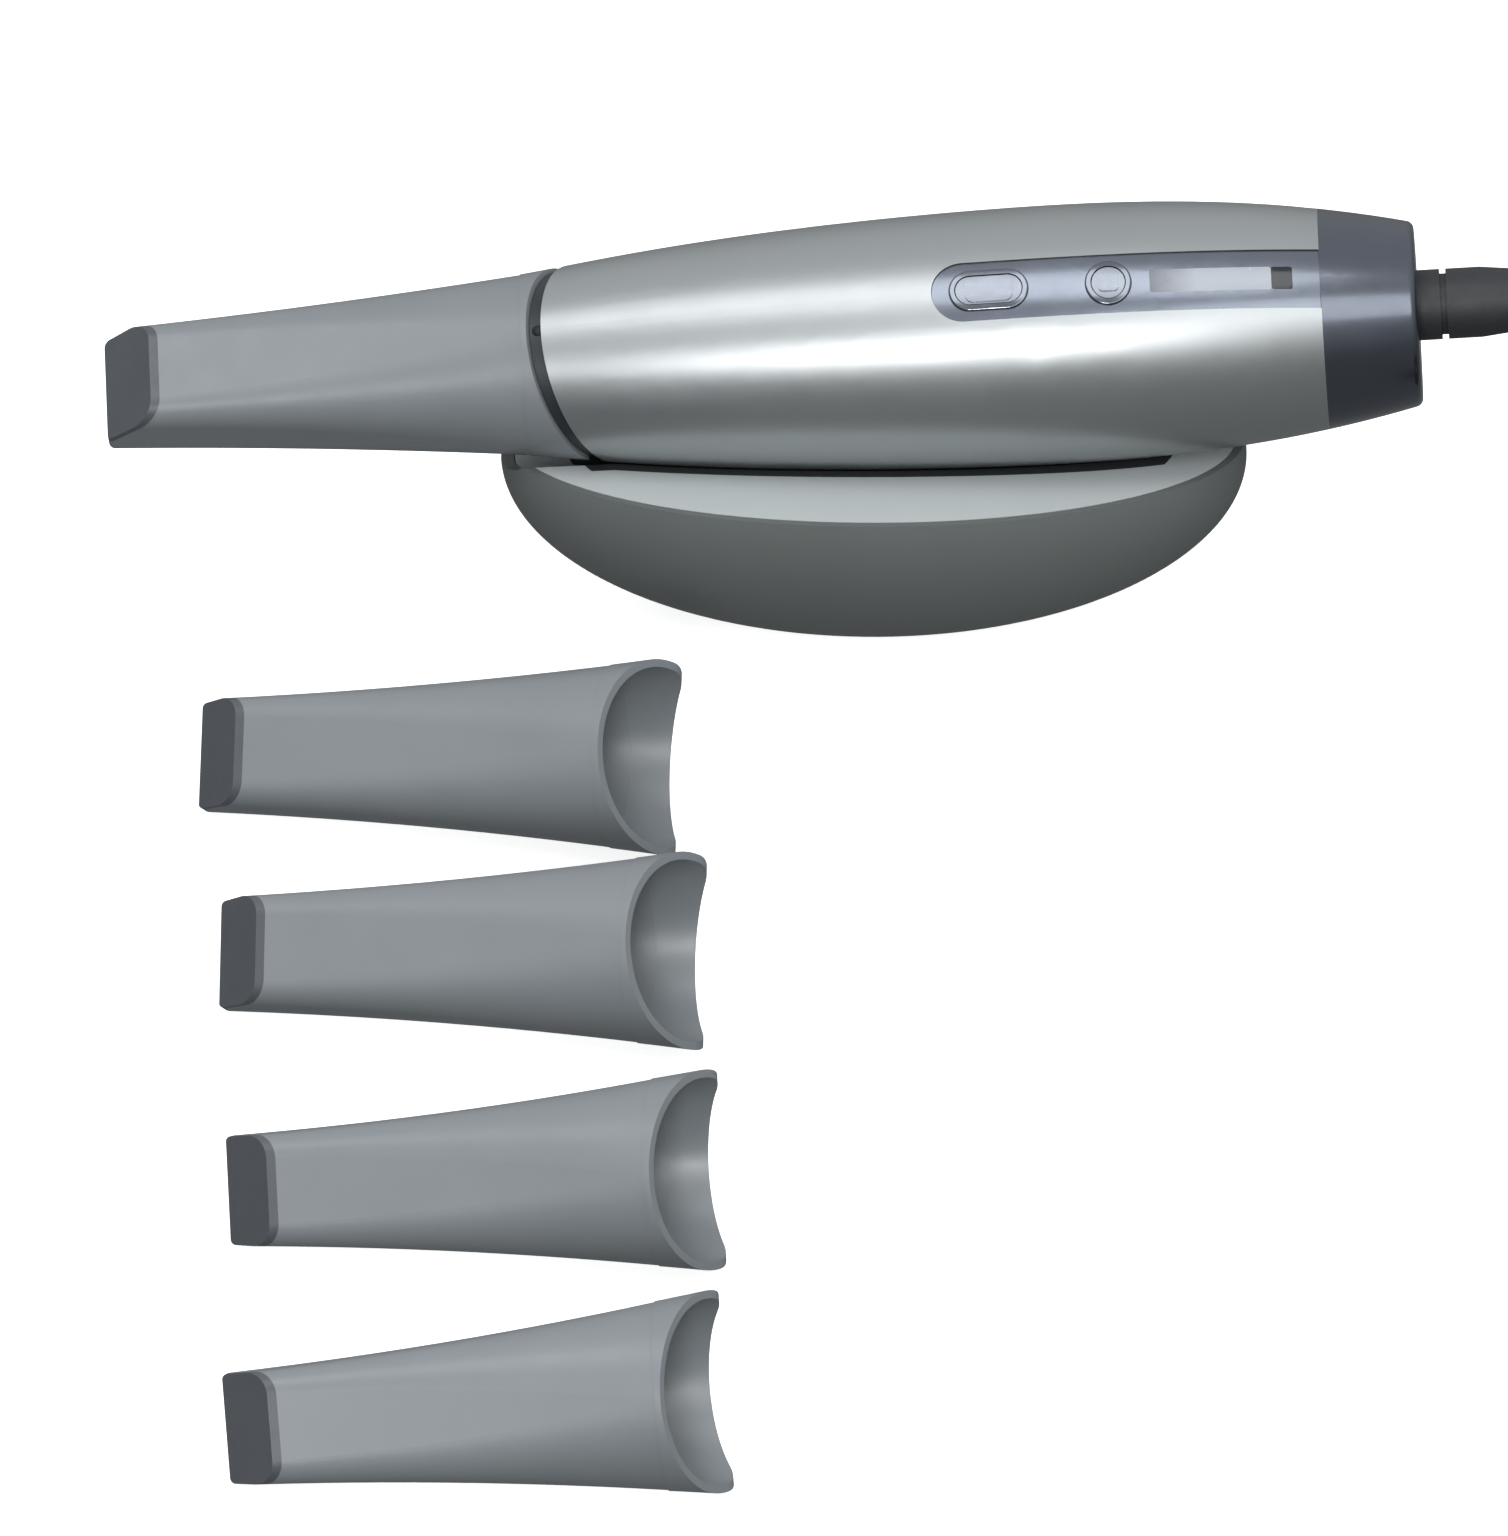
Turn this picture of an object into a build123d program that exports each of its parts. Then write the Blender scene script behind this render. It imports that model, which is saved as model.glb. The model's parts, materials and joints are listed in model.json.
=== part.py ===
"""Intraoral optical scanner: a handset with a slide-off mirror tip, its desk cradle, cable and spare tips.

Millimetres. The origin is the centre of the cradle's foot on the table, +Z is up, +X runs along the cradle
to the cable end, and the side with the buttons is turned towards -Y.

A handset or a tip is drawn in its own lengthwise plane: x runs from the tip's front end to the rear, y runs
to the button side, and z runs to the near side. Distances along x are called stations.
"""

import os
from math import atan2, cos, degrees, pi, radians, sin, sqrt, tan

from build123d import *

os.makedirs("parts", exist_ok=True)

# ---- handset outline: stations and radii of the round body ------------------------------------------
handset_length = 250.0
neck_station, neck_radius = 80.0, 17.3
neck_step = 0.15  # ledge where a tip's shaped front meets its round rear end
tip_length, tip_root_radius = 96.0, 19.4
belly_station, belly_radius = 166.0, 24.4
tail_station, tail_radius = 232.0, 21.0
end_radius = 17.4
neck_slope = 0.12  # rise of the outline per millimetre where it starts
end_slope = -0.24
casing_wall = 2.4
rear_edge_radius = 1.6

# ---- where the handset lies ---------------------------------------------------------------------------
tip_end_x, tip_end_z = -146.1, 45.3
handset_pitch = 3.8  # the cable end is higher
handset_roll = 38.5  # the button side is turned towards the front

# ---- slanted seam between tip and casing --------------------------------------------------------------
seam_knee, seam_knee_drop = 91.9, 6.5  # rearmost station of the seam, and how far below the axis it is
seam_slope = 0.45  # it comes forward this much per millimetre towards the button side
seam_heel_slope = 0.45  # and this much per millimetre away from the button side
seam_knee_fillet = 8.0
seam_band = 3.0  # width of the black band between tip and casing
seam_play = 0.3
band_recess = 0.9

# ---- slide-off tip ------------------------------------------------------------------------------------
tip_wall = 1.5
tip_front_width, tip_front_height, tip_front_corner = 20.0, 17.0, 4.0
tip_waist_station = 47.0
tip_waist_width, tip_waist_height, tip_waist_corner = 26.4, 25.0, 9.0
facet_angle = 48.0  # slanted front face against the axis
facet_foot = -1.0  # height of the slanted face where it meets the front end
front_edge_radius = 1.2
cover_thickness = 1.2
mirror_thickness = 1.0
mirror_frame = 1.4  # wall that the mirror is set in
mirror_width, mirror_length = 13.0, 7.0
scan_window_station = 13.5
scan_window_length, scan_window_width, scan_window_corner = 15.0, 14.0, 2.5

# ---- nose that the tip slides over --------------------------------------------------------------------
nose_station = 30.0
nose_width, nose_height, nose_corner = 15.5, 13.5, 4.0
nose_root_station = 74.0
nose_root_size, nose_root_corner = 25.0, 10.0
nose_wall = 1.5
barrel_radius = 13.0
barrel_end_station = 104.0
collar_radius = 15.0
collar_start_station, collar_end_station = 77.0, 102.0
glass_thickness = 1.5
glass_ledge = 1.0
ring_station = 79.0
ring_section = 0.8
ring_stand = 0.2

# ---- control panel ------------------------------------------------------------------------------------
panel_front_station = 158.4
panel_width = 12.0
panel_recess = 0.35
panel_thickness = 1.3
inlay_play = 0.1
scan_station = 169.3
scan_bezel_length, scan_bezel_width = 15.2, 8.2
scan_pad_length, scan_pad_width = 8.9, 4.9
mode_station = 192.0
mode_bezel_diameter = 8.9
mode_pad_size = 3.6
bezel_band = 1.1
bezel_stand = 0.55  # above the panel
bezel_edge_radius = 0.35
button_play = 0.2
button_dip = 0.2  # below the bezel's rim
button_pad_stand = 0.35
button_depth = 3.2
button_travel = 0.5
button_stem_radius = 1.2
indicator_start, indicator_length, indicator_width = 199.8, 23.0, 4.6
sensor_length = 4.0

# ---- inside the casing --------------------------------------------------------------------------------
boss_stations = (112.0, 165.0, 216.0)
boss_drop = 10.0
boss_radius = 3.0
screw_radius = 1.0
screw_head_radius, screw_head_height = 2.0, 1.5
screw_head_depth = 13.0  # from the middle plane to the head's seat
screw_grip = 7.0
chassis_thickness = 2.5
chassis_width = 25.0
chassis_end_station = 227.0
module_width, module_height, module_length = 11.0, 12.0, 24.0
module_spacing = 11.8
lens_radius = 4.2
lens_reach = 14.0
board_start, board_length, board_width, board_thickness = 134.0, 80.0, 24.0, 1.6
board_height = 8.0
standoff_radius = 2.0
button_board_start, button_board_length, button_board_width = 160.0, 48.0, 10.0
button_board_thickness = 1.0
button_board_height = 15.6  # above the axis
switch_size, switch_height = 4.4, 2.2
sink_start, sink_length, sink_width, sink_depth = 118.0, 38.0, 20.0, 8.5
fin_gap, fin_count = 2.0, 5
fin_root = 2.5

# ---- rear end and cable -------------------------------------------------------------------------------
cap_spigot_length, cap_spigot_wall = 6.0, 1.5
cap_end_wall = 2.5
gland_offset = 4.0  # the cable leaves above the axis, on the button side
gland_radius = 5.6
gland_flange_radius, gland_flange_thickness = 8.2, 1.6
relief_radius = 6.7
relief_collar_length, relief_notch_length, relief_notch_depth = 4.4, 1.2, 0.9
relief_straight_length, relief_taper_length = 12.0, 27.0
relief_end_radius = 3.8
cord_diameter = 5.0
coil_turns, coil_columns = 11, 4  # four columns of turns, one inside the other
coil_middle_radius = 27.5
coil_x, coil_y = 163.0, -48.0
plug_lead = 30.0  # cable from the last turn up to the plug
plug_angle, plug_radius = -60.0, 26.0  # the plug's back, seen from the coil's centre
plug_length, plug_width, plug_height = 28.0, 14.0, 8.0
plug_tongue_length, plug_tongue_width, plug_tongue_height = 12.0, 12.0, 4.5
plug_tongue_wall, plug_insert_height = 0.3, 1.9
plug_corner = 2.5

# ---- cradle -------------------------------------------------------------------------------------------
cradle_half_length, cradle_half_width = 71.0, 35.0
cradle_equator_height = 31.4
cradle_rim_height = 35.0
cradle_wall = 2.5
cradle_rim_inset = 1.7
cradle_play = 0.2
cradle_top_thickness = 3.0
trough_play = 0.35
seat_pad_thickness = 1.4
seat_pad_half_length = 58.0
foot_stand = 0.8  # the rubber foot stands this far proud of the shell
foot_thickness = 1.8
foot_half_length, foot_half_width = 29.0, 13.5
weight_half_length, weight_half_width, weight_thickness = 36.0, 17.0, 9.0
post_spacing, post_radius = 44.0, 4.0
cradle_screw_radius, cradle_screw_head_radius, cradle_screw_head_height = 1.5, 2.8, 1.6
cradle_screw_length = 14.0

# ---- spare tips on the table: x and y of the front end, turn seen from above, and roll ---------------
spare_places = [
    (-127.4, -80.5, -11.2, 52.0),
    (-122.6, -154.6, -9.8, 52.0),
    (-119.8, -240.7, -5.8, 62.0),
    (-118.9, -325.4, -2.0, 62.0),
]

reach = 2 * belly_radius  # long enough to cut right through a handset


# ---- planes -------------------------------------------------------------------------------------------
def lying_plane(position, turn, pitch, roll):
    """Lengthwise plane of a handset or tip: level and upright first, then tilted, turned and rolled."""
    rear = Vector(1, 0, 0).rotate(Axis.Y, -pitch).rotate(Axis.Z, turn)
    near = Vector(0, -1, 0).rotate(Axis.Z, turn).rotate(Axis((0, 0, 0), rear), roll)
    return Plane(origin=position, x_dir=rear, z_dir=near)


def place(plane, station, height=0.0, side=0.0):
    """Point at a station, at a height to the button side and a distance to the near side."""
    return plane.origin + plane.x_dir * station + plane.y_dir * height + plane.z_dir * side


def across(plane, station, height=0.0, side=0.0):
    """Plane square to the axis, facing the rear, with its y to the button side."""
    return Plane(origin=place(plane, station, height, side), x_dir=plane.z_dir * -1, z_dir=plane.x_dir)


def above(plane, station, height=0.0):
    """Plane seen from the button side, with its x to the rear."""
    return Plane(origin=place(plane, station, height), x_dir=plane.x_dir, z_dir=plane.y_dir)


def sideways(plane, station, height=0.0, side=0.0):
    """Plane facing the near side, with its x to the rear."""
    return Plane(origin=place(plane, station, height, side), x_dir=plane.x_dir, z_dir=plane.z_dir)


def axis_of(plane):
    """Axis of the handset or tip that lies in a plane."""
    return Axis(plane.origin, plane.x_dir)


handset = lying_plane((tip_end_x, 0, tip_end_z), 0, handset_pitch, handset_roll)


# ---- shared shapes --------------------------------------------------------------------------------------
def round_body(growth, start=neck_station, stop=handset_length, plane=handset):
    """The handset's round outline, grown outwards by growth, between two stations."""
    with BuildPart() as body:
        with BuildSketch(plane):
            with BuildLine():
                Spline(
                    (neck_station, neck_radius + growth),
                    (tip_length, tip_root_radius + growth),
                    (belly_station, belly_radius + growth),
                    (tail_station, tail_radius + growth),
                    (handset_length, end_radius + growth),
                    tangents=((1, neck_slope), (1, end_slope)),
                )
                Polyline(
                    (handset_length, end_radius + growth),
                    (handset_length, 0),
                    (neck_station, 0),
                    (neck_station, neck_radius + growth),
                )
            make_face()
        revolve(axis=axis_of(plane))
        split(bisect_by=across(plane, start), keep=Keep.TOP)
        split(bisect_by=across(plane, stop), keep=Keep.BOTTOM)
    return body.part


def behind_seam(plane, shift):
    """Everything behind the slanted seam, moved back by shift."""
    knee = seam_knee + shift
    top = knee - seam_slope * (reach + seam_knee_drop)
    heel = knee - seam_heel_slope * (reach - seam_knee_drop)
    with BuildPart() as block:
        with BuildSketch(plane):
            with BuildLine():
                FilletPolyline(
                    (top, reach),
                    (knee, -seam_knee_drop),
                    (heel, -reach),
                    radius=seam_knee_fillet,
                )
                Polyline(
                    (heel, -reach),
                    (handset_length + reach, -reach),
                    (handset_length + reach, reach),
                    (top, reach),
                )
            make_face()
        extrude(amount=reach, both=True)
    return block.part


def tapered_body(plane, sections):
    """Smooth body through rounded rectangles, each a station, width, height and corner radius."""
    with BuildPart() as body:
        for station, width, height, corner in sections:
            with BuildSketch(across(plane, station)):
                RectangleRounded(width, height, corner)
        loft()
    return body.part


def panel_block(growth):
    """Upright block with the panel's outline: round in front, and open to the rear cap."""
    half_width = panel_width / 2 + growth
    front = panel_front_station + panel_width / 2
    with BuildPart() as block:
        with BuildSketch(above(handset, 0)):
            with Locations((front, 0)):
                Circle(half_width)
                Rectangle(tail_station - front, 2 * half_width, align=(Align.MIN, Align.CENTER))
        extrude(amount=reach)
    return block.part


def skin(block, top, bottom):
    """The layer of a block that lies between two depths below the casing's surface."""
    with BuildPart() as layer:
        add(block)
        add(round_body(-top), mode=Mode.INTERSECT)
        add(round_body(-bottom), mode=Mode.SUBTRACT)
    return layer.part


def write(piece, name):
    """Names a finished piece and writes its file."""
    piece.label = name
    export_step(piece, f"parts/{name}.step")


# ---- tips: a sleeve, a mirror and the cover behind the mirror -------------------------------------------
def tip_body(plane, shrink):
    """Outline of the tip shrunk by a wall: rounded sections in front, and as round as the casing behind."""
    nearly_round = 0.05
    shaped_radius = neck_radius - neck_step
    sections = [
        (0.0, tip_front_width, tip_front_height, tip_front_corner),
        (tip_waist_station, tip_waist_width, tip_waist_height, tip_waist_corner),
        (neck_station, 2 * shaped_radius, 2 * shaped_radius, shaped_radius - nearly_round),
    ]
    with BuildPart() as body:
        add(tapered_body(plane, [(s, w - 2 * shrink, h - 2 * shrink, c - shrink) for s, w, h, c in sections]))
        add(round_body(-shrink, stop=tip_length, plane=plane))
    return body.part


def facet_plane(plane, depth):
    """Plane of the slanted front face, moved into the tip by depth, facing inwards."""
    slant = plane.x_dir * cos(radians(facet_angle)) + plane.y_dir * sin(radians(facet_angle))
    inward = plane.x_dir * sin(radians(facet_angle)) - plane.y_dir * cos(radians(facet_angle))
    return Plane(origin=place(plane, 0, facet_foot) + inward * depth, x_dir=slant, z_dir=inward)


def tip_pieces(plane):
    """Sleeve, mirror and cover of one tip lying in the given plane."""
    mirror_depth = cover_thickness
    cavity_depth = cover_thickness + mirror_frame
    facet_length = (tip_front_height / 2 - facet_foot) / sin(radians(facet_angle))

    with BuildPart() as cavity:
        add(tip_body(plane, tip_wall))
        split(bisect_by=across(plane, tip_wall), keep=Keep.TOP)
        split(bisect_by=facet_plane(plane, cavity_depth), keep=Keep.TOP)

    with BuildPart() as mirror:
        with BuildSketch(facet_plane(plane, mirror_depth)):
            with Locations((facet_length / 2, 0)):
                RectangleRounded(mirror_length, mirror_width, front_edge_radius)
        extrude(amount=mirror_thickness)

    with BuildPart() as mirror_opening:
        with BuildSketch(facet_plane(plane, mirror_depth)):
            with Locations((facet_length / 2, 0)):
                RectangleRounded(mirror_length, mirror_width, front_edge_radius)
        extrude(amount=2 * mirror_frame)

    with BuildPart() as scan_window:
        with BuildSketch(above(plane, scan_window_station, -tip_wall)):
            RectangleRounded(scan_window_length, scan_window_width, scan_window_corner)
        extrude(amount=-tip_front_height)

    with BuildPart() as shaped:
        add(tip_body(plane, 0))
        split(bisect_by=facet_plane(plane, 0), keep=Keep.TOP)
        fillet(shaped.faces().sort_by(axis_of(plane))[0].edges(), front_edge_radius)
        add(behind_seam(plane, 0), mode=Mode.SUBTRACT)

    with BuildPart() as sleeve:
        add(shaped.part)
        split(bisect_by=facet_plane(plane, cover_thickness), keep=Keep.TOP)
        for tool in (cavity, mirror_opening, scan_window):
            add(tool.part, mode=Mode.SUBTRACT)

    with BuildPart() as cover:
        add(shaped.part)
        split(bisect_by=facet_plane(plane, cover_thickness), keep=Keep.BOTTOM)

    return sleeve.part, mirror.part, cover.part


for tip_name, tip_part in zip(("tip_sleeve", "tip_mirror", "tip_cover"), tip_pieces(handset)):
    write(tip_part, tip_name)

# A spare tip rests on its front end and on its wide rear rim, so it leans forwards.
front_half = tip_front_height / 2
rest_pitch = degrees(atan2(neck_radius - front_half, neck_station))
for number, (front_x, front_y, turn, roll) in enumerate(spare_places, start=1):
    level = lying_plane((front_x, front_y, tip_root_radius), turn, rest_pitch, roll)
    sleeve_at_rest = tip_pieces(level)[0]
    drop = sleeve_at_rest.bounding_box().min.Z
    resting = lying_plane((front_x, front_y, tip_root_radius - drop), turn, rest_pitch, roll)
    sleeve, mirror, cover = tip_pieces(resting)
    write(sleeve, f"spare_{number}_sleeve")
    write(mirror, f"spare_{number}_mirror")
    write(cover, f"spare_{number}_cover")


# ---- nose: optics barrel, window, black collar and holding ring -----------------------------------------
nose_sections = [
    (nose_station, nose_width, nose_height, nose_corner),
    (nose_root_station, nose_root_size, nose_root_size, nose_root_corner),
]
nose_bore = [(s, w - 2 * nose_wall, h - 2 * nose_wall, c - nose_wall) for s, w, h, c in nose_sections]

with BuildPart() as optics_barrel:
    add(tapered_body(handset, nose_sections))
    with BuildSketch(across(handset, nose_root_station)):
        Circle(barrel_radius)
    extrude(amount=barrel_end_station - nose_root_station)
    add(tapered_body(handset, nose_bore), mode=Mode.SUBTRACT)
    with BuildSketch(across(handset, nose_root_station)):
        Circle(barrel_radius - nose_wall)
    extrude(amount=barrel_end_station - nose_root_station, mode=Mode.SUBTRACT)
    with BuildSketch(across(handset, nose_station)):
        RectangleRounded(nose_width - glass_ledge, nose_height - glass_ledge, nose_corner - glass_ledge / 2)
    extrude(amount=glass_thickness, mode=Mode.SUBTRACT)
write(optics_barrel.part, "optics_barrel")

with BuildPart() as nose_window:
    with BuildSketch(across(handset, nose_station)):
        RectangleRounded(nose_width - glass_ledge, nose_height - glass_ledge, nose_corner - glass_ledge / 2)
    extrude(amount=glass_thickness)
write(nose_window.part, "nose_window")

band_front = behind_seam(handset, seam_play)
band_rear = behind_seam(handset, seam_band)

with BuildPart() as seam_shoulder:
    add(round_body(-band_recess, stop=collar_end_station))
    add(band_front, mode=Mode.INTERSECT)
    add(band_rear, mode=Mode.SUBTRACT)

with BuildPart() as casing_spigot:
    add(round_body(-casing_wall, stop=collar_end_station))
    add(band_rear, mode=Mode.INTERSECT)

with BuildPart() as nose_collar:
    with BuildSketch(across(handset, collar_start_station)):
        Circle(collar_radius)
    extrude(amount=seam_knee - collar_start_station)
    add(seam_shoulder.part)
    add(casing_spigot.part)
    with BuildSketch(across(handset, nose_root_station)):
        Circle(barrel_radius)
    extrude(amount=collar_end_station - nose_root_station, mode=Mode.SUBTRACT)
    with BuildSketch(handset):
        with Locations((ring_station, collar_radius + ring_stand - ring_section)):
            Circle(ring_section)
    revolve(axis=axis_of(handset), mode=Mode.SUBTRACT)
write(nose_collar.part, "nose_collar")

with BuildPart() as holding_ring:
    with BuildSketch(handset):
        with Locations((ring_station, collar_radius + ring_stand - ring_section)):
            Circle(ring_section)
    revolve(axis=axis_of(handset))
write(holding_ring.part, "holding_ring")


# ---- control panel: strip, bezels, buttons, light and sensor window -------------------------------------
panel_depth = panel_recess + panel_thickness
scan_button_length = scan_bezel_length - 2 * (bezel_band + button_play)
scan_button_width = scan_bezel_width - 2 * (bezel_band + button_play)
mode_button_radius = mode_bezel_diameter / 2 - bezel_band - button_play


def oblong_block(station, length, width, start=0.0, height=reach):
    """Upright block with round ends; equal length and width make it a cylinder."""
    with BuildPart() as block:
        with BuildSketch(above(handset, station, start)):
            if length > width:
                SlotOverall(length, width)
            else:
                Circle(width / 2)
        extrude(amount=height)
    return block.part


def square_block(station, length, width, corner, start=0.0, height=reach):
    """Upright block with a rounded rectangle for its outline."""
    with BuildPart() as block:
        with BuildSketch(above(handset, station, start)):
            RectangleRounded(length, width, corner)
        extrude(amount=height)
    return block.part


def bezel(station, length, width):
    """Raised ring let into the panel, with a rounded top edge."""
    with BuildPart() as ring:
        add(skin(oblong_block(station, length, width), panel_recess - bezel_stand, panel_depth))
        fillet(ring.faces().sort_by(Axis(handset.origin, handset.y_dir))[-1].edges(), bezel_edge_radius)
        add(oblong_block(station, length - 2 * bezel_band, width - 2 * bezel_band), mode=Mode.SUBTRACT)
    return ring.part


button_board_top = button_board_height + button_board_thickness
stem_gap = 0.15  # left above the switch when the button is down
stem_start = button_board_top + switch_height + button_travel + stem_gap


def button(station, length, width, pad):
    """Cap that follows the casing's surface, with a raised pad on top and a stem down to its switch."""
    with BuildPart() as cap:
        add(skin(oblong_block(station, length, width), panel_recess - bezel_stand + button_dip, button_depth))
        add(skin(pad, panel_recess - bezel_stand + button_dip - button_pad_stand, button_depth))
        with BuildSketch(above(handset, station, stem_start)):
            Circle(button_stem_radius)
        extrude(amount=belly_radius - button_depth + stem_gap - stem_start)
    return cap.part


bezel_sizes = {
    "scan": (scan_station, scan_bezel_length, scan_bezel_width),
    "mode": (mode_station, mode_bezel_diameter, mode_bezel_diameter),
}
indicator_middle = indicator_start + indicator_length / 2
sensor_middle = indicator_start + indicator_length + sensor_length / 2
inlay_corner = 0.5
indicator_block = square_block(indicator_middle, indicator_length, indicator_width, inlay_corner)
sensor_block = square_block(sensor_middle, sensor_length, indicator_width, inlay_corner)

with BuildPart() as control_panel:
    add(skin(panel_block(-inlay_play), panel_recess, panel_depth))
    for station, length, width in bezel_sizes.values():
        add(oblong_block(station, length, width), mode=Mode.SUBTRACT)
    add(indicator_block, mode=Mode.SUBTRACT)
    add(sensor_block, mode=Mode.SUBTRACT)
write(control_panel.part, "control_panel")

write(skin(indicator_block, panel_recess, panel_depth), "indicator_light")
write(skin(sensor_block, panel_recess, panel_depth), "sensor_window")
for bezel_name, (station, length, width) in bezel_sizes.items():
    write(bezel(station, length, width), f"{bezel_name}_bezel")

pad_corner = 1.4
scan_pad = square_block(scan_station, scan_pad_length, scan_pad_width, pad_corner)
mode_pad = square_block(mode_station, mode_pad_size, mode_pad_size, pad_corner / 2)
write(button(scan_station, scan_button_length, scan_button_width, scan_pad), "scan_button")
write(button(mode_station, 2 * mode_button_radius, 2 * mode_button_radius, mode_pad), "mode_button")


# ---- casing: two halves that meet on the middle plane, held by screws from the far side -----------------
with BuildPart() as bosses:
    for station in boss_stations:
        with BuildSketch(sideways(handset, station, -boss_drop)):
            Circle(boss_radius)
        extrude(amount=reach, both=True)
    add(round_body(-casing_wall / 2), mode=Mode.INTERSECT)

with BuildPart() as screw_holes:
    for station in boss_stations:
        with BuildSketch(sideways(handset, station, -boss_drop, -reach)):
            Circle(screw_head_radius + button_play)
        extrude(amount=reach - screw_head_depth)
        with BuildSketch(sideways(handset, station, -boss_drop, -screw_head_depth)):
            Circle(screw_radius)
        extrude(amount=screw_head_depth + screw_grip)

with BuildPart() as button_holes:
    for station, length, width in bezel_sizes.values():
        add(oblong_block(station, length - 2 * bezel_band, width - 2 * bezel_band))

with BuildPart() as panel_pocket:
    add(panel_block(0))
    add(round_body(-panel_depth), mode=Mode.SUBTRACT)

with BuildPart() as casing:
    add(round_body(0, stop=tail_station))
    add(round_body(-casing_wall), mode=Mode.SUBTRACT)
    add(bosses.part)
    add(band_rear, mode=Mode.INTERSECT)
    for tool in (screw_holes, button_holes, panel_pocket):
        add(tool.part, mode=Mode.SUBTRACT)

for half_name, side in (("casing_near_half", Keep.TOP), ("casing_far_half", Keep.BOTTOM)):
    with BuildPart() as casing_half:
        add(casing.part)
        split(bisect_by=handset, keep=side)
    write(casing_half.part, half_name)

with BuildPart() as casing_screws:
    for station in boss_stations:
        with BuildSketch(sideways(handset, station, -boss_drop, -screw_head_depth)):
            Circle(screw_head_radius)
        extrude(amount=-screw_head_height)
        with BuildSketch(sideways(handset, station, -boss_drop, -screw_head_depth - screw_head_height)):
            RegularPolygon(screw_radius, 6)
        extrude(amount=screw_head_height / 2, mode=Mode.SUBTRACT)
        with BuildSketch(sideways(handset, station, -boss_drop, -screw_head_depth)):
            Circle(screw_radius)
        extrude(amount=screw_head_depth + screw_grip)
write(casing_screws.part, "casing_screws")


# ---- inside: chassis, camera, projector, boards, switches and heat sink ---------------------------------
chassis_bottom = boss_radius - boss_drop
chassis_top = chassis_bottom + chassis_thickness


def inner_box(start, length, width, bottom, height, side=0.0):
    """Box inside the casing, from a station to the rear and from a height to the button side."""
    with BuildPart() as box:
        with BuildSketch(above(handset, start, bottom)):
            with Locations((0, -side)):
                Rectangle(length, width, align=(Align.MIN, Align.CENTER))
        extrude(amount=height)
    return box.part


post_length, post_width = 5.0, 8.0
post_stations = (button_board_start, button_board_start + button_board_length - post_length)
with BuildPart() as chassis:
    add(inner_box(barrel_end_station, chassis_end_station - barrel_end_station, chassis_width,
                  chassis_bottom, chassis_thickness))
    for station in post_stations:
        add(inner_box(station, post_length, post_width, chassis_top, button_board_height - chassis_top))
write(chassis.part, "chassis")

optics_height = chassis_top + module_height / 2
for module_name, side in (("camera_module", module_spacing / 2), ("projector_module", -module_spacing / 2)):
    with BuildPart() as module:
        add(inner_box(barrel_end_station, module_length, module_width, chassis_top, module_height, side))
        with BuildSketch(across(handset, barrel_end_station, optics_height, side)):
            Circle(lens_radius)
        extrude(amount=-lens_reach)
    write(module.part, module_name)

with BuildPart() as main_board:
    add(inner_box(board_start, board_length, board_width, board_height, board_thickness))
    for station in post_stations:
        add(inner_box(station, post_length, post_width, board_height, board_thickness), mode=Mode.SUBTRACT)
write(main_board.part, "main_board")

chip_height = 1.4
with BuildPart() as board_chips:
    for start, size in ((board_start + 5, 15.0), (board_start + 35, 12.0), (board_start + 56, 10.0)):
        add(inner_box(start, size, size, board_height - chip_height, chip_height))
write(board_chips.part, "board_chips")

standoff_inset = 3.0
board_middle = board_start + board_length / 2
with BuildPart() as board_standoffs:
    with BuildSketch(above(handset, board_middle, chassis_top)):
        with GridLocations(board_length - 2 * standoff_inset, board_width - 2 * standoff_inset, 2, 2):
            Circle(standoff_radius)
    extrude(amount=board_height - chassis_top)
write(board_standoffs.part, "board_standoffs")

write(inner_box(button_board_start, button_board_length, button_board_width,
                button_board_height, button_board_thickness), "button_board")

with BuildPart() as button_switches:
    for station in (scan_station, mode_station):
        with BuildSketch(above(handset, station, button_board_top)):
            Rectangle(switch_size, switch_size)
        extrude(amount=switch_height)
write(button_switches.part, "button_switches")

fin_pitch = sink_width / fin_count
with BuildPart() as heat_sink:
    add(inner_box(sink_start, sink_length, sink_width, chassis_bottom, -sink_depth))
    for gap in range(1, fin_count):
        side = gap * fin_pitch - sink_width / 2
        add(inner_box(sink_start, sink_length, fin_gap, chassis_bottom - fin_root, -sink_depth, side),
            mode=Mode.SUBTRACT)
write(heat_sink.part, "heat_sink")


# ---- rear cap and strain relief ------------------------------------------------------------------------
with BuildPart() as cap_shell:
    add(round_body(0, start=tail_station))
    fillet(cap_shell.faces().sort_by(axis_of(handset))[-1].edges(), rear_edge_radius)

with BuildPart() as cap_spigot:
    add(round_body(-casing_wall, start=tail_station - cap_spigot_length, stop=tail_station))
    add(round_body(-casing_wall - cap_spigot_wall), mode=Mode.SUBTRACT)

with BuildPart() as rear_cap:
    add(cap_shell.part)
    add(round_body(-casing_wall - cap_spigot_wall, stop=handset_length - cap_end_wall), mode=Mode.SUBTRACT)
    add(cap_spigot.part)
    with BuildSketch(across(handset, handset_length, gland_offset)):
        Circle(gland_radius)
    extrude(amount=-2 * cap_end_wall, mode=Mode.SUBTRACT)
write(rear_cap.part, "rear_cap")

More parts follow.
